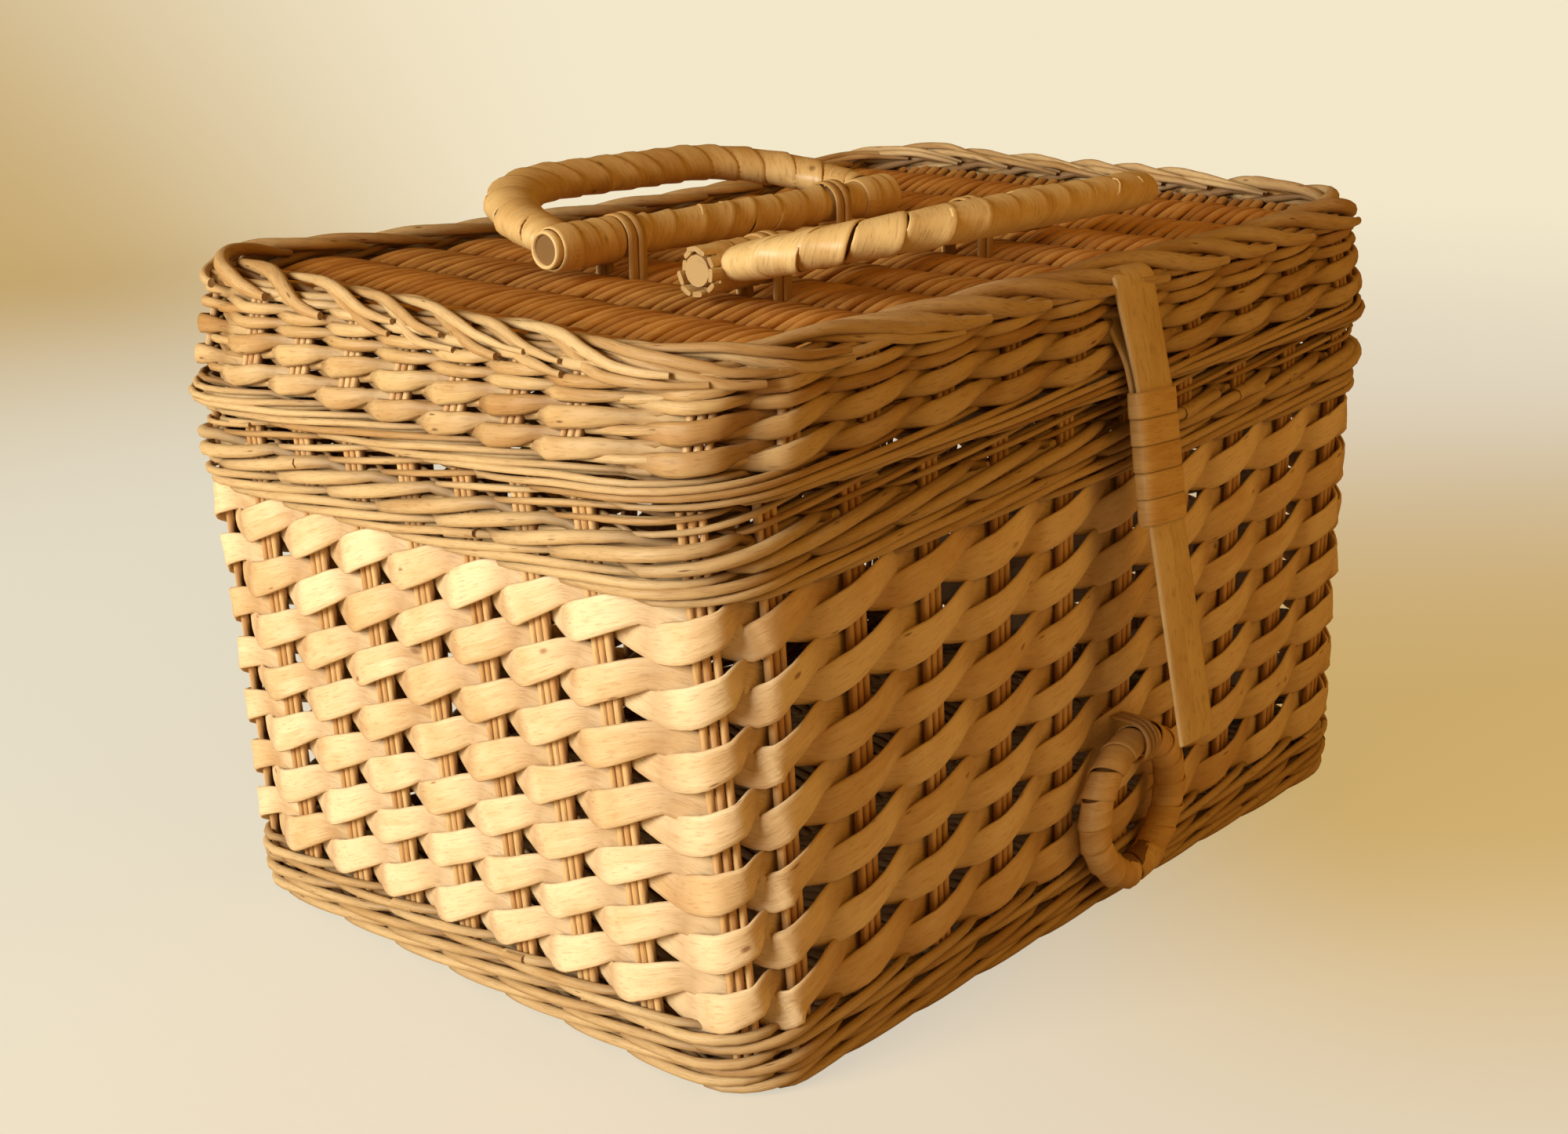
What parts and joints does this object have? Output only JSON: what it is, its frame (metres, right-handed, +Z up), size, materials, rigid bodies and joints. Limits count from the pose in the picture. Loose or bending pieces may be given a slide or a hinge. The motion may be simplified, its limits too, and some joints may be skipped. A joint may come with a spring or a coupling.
{
  "type": "lidded rattan basket",
  "caption": "Rectangular woven cane basket with a hinged lid, swinging wrapped handles on it, and a strap and ring clasp at the front.",
  "frame": {"origin": "centre of the basket's flat underside, on the surface it stands on", "axes": "+Z up; +X along the length; -Y towards the front, where the clasp is; the lid's hinge is at +Y"},
  "size_m": [0.3826, 0.2797, 0.242],
  "materials": {
    "band_cane": "flat split cane, natural, satin",
    "stake_cane": "round cane, natural",
    "border_rod": "twisted thin rods, natural",
    "lid_rod": "woven half-round rods, golden brown",
    "base_cane": "woven cane and sticks",
    "handle_peel": "glossy flat peel, wrapped",
    "cane_core": "bent core cane, cut ends",
    "strap_cane": "flat split cane, worn"
  },
  "bodies": {
    "basket": {"base_sticks": "base_cane", "base_weave": "base_cane", "foot_border": "border_rod", "lower_waling": "border_rod", "side_stakes": "stake_cane", "corner_stakes": "stake_cane", "wall_bands": "band_cane", "upper_waling": "border_rod", "body_rim": "border_rod", "hinge_loops": "handle_peel", "ring_lashing": "handle_peel"},
    "lid": {"lid_lower_border": "border_rod", "lid_stakes": "stake_cane", "lid_wall_weave": "lid_rod", "lid_top_border": "border_rod", "lid_ribs": "base_cane", "lid_panel_weave": "lid_rod", "hinge_rod": "cane_core", "strap_rod": "cane_core", "handle_back_lashings": "handle_peel", "handle_front_lashings": "handle_peel"},
    "handle_back": {"handle_back_bow": "cane_core", "handle_back_bow_wrap": "handle_peel", "handle_back_bar": "cane_core", "handle_back_bar_wrap": "handle_peel"},
    "handle_front": {"handle_front_bow": "cane_core", "handle_front_bow_wrap": "handle_peel", "handle_front_bar": "cane_core", "handle_front_bar_wrap": "handle_peel"},
    "clasp_strap": {"strap_cane": "strap_cane", "strap_bindings": "handle_peel"},
    "clasp_ring": {"ring_core": "cane_core", "ring_wrap": "handle_peel"}
  },
  "joints": [
    {"name": "lid_hinge", "type": "hinge", "parent": "basket", "child": "lid", "pos_m": [0, 0.124, 0.17824], "axis": [-1, 0, 0], "range_deg": [0, 105]},
    {"name": "handle_back_hinge", "type": "hinge", "parent": "lid", "child": "handle_back", "pos_m": [0, 0.018, 0.22274], "axis": [1, 0, 0], "range_deg": [0, 90]},
    {"name": "handle_front_hinge", "type": "hinge", "parent": "lid", "child": "handle_front", "pos_m": [0, -0.044, 0.22184], "axis": [-1, 0, 0], "range_deg": [0, 90]},
    {"name": "strap_swing", "type": "hinge", "parent": "lid", "child": "clasp_strap", "pos_m": [0.01, -0.1158, 0.21074], "axis": [-1, 0, 0], "range_deg": [0, 150]},
    {"name": "ring_swing", "type": "hinge", "parent": "basket", "child": "clasp_ring", "pos_m": [0.009, -0.1278, 0.0603], "axis": [-1, 0, 0], "range_deg": [0, 110]}
  ]
}
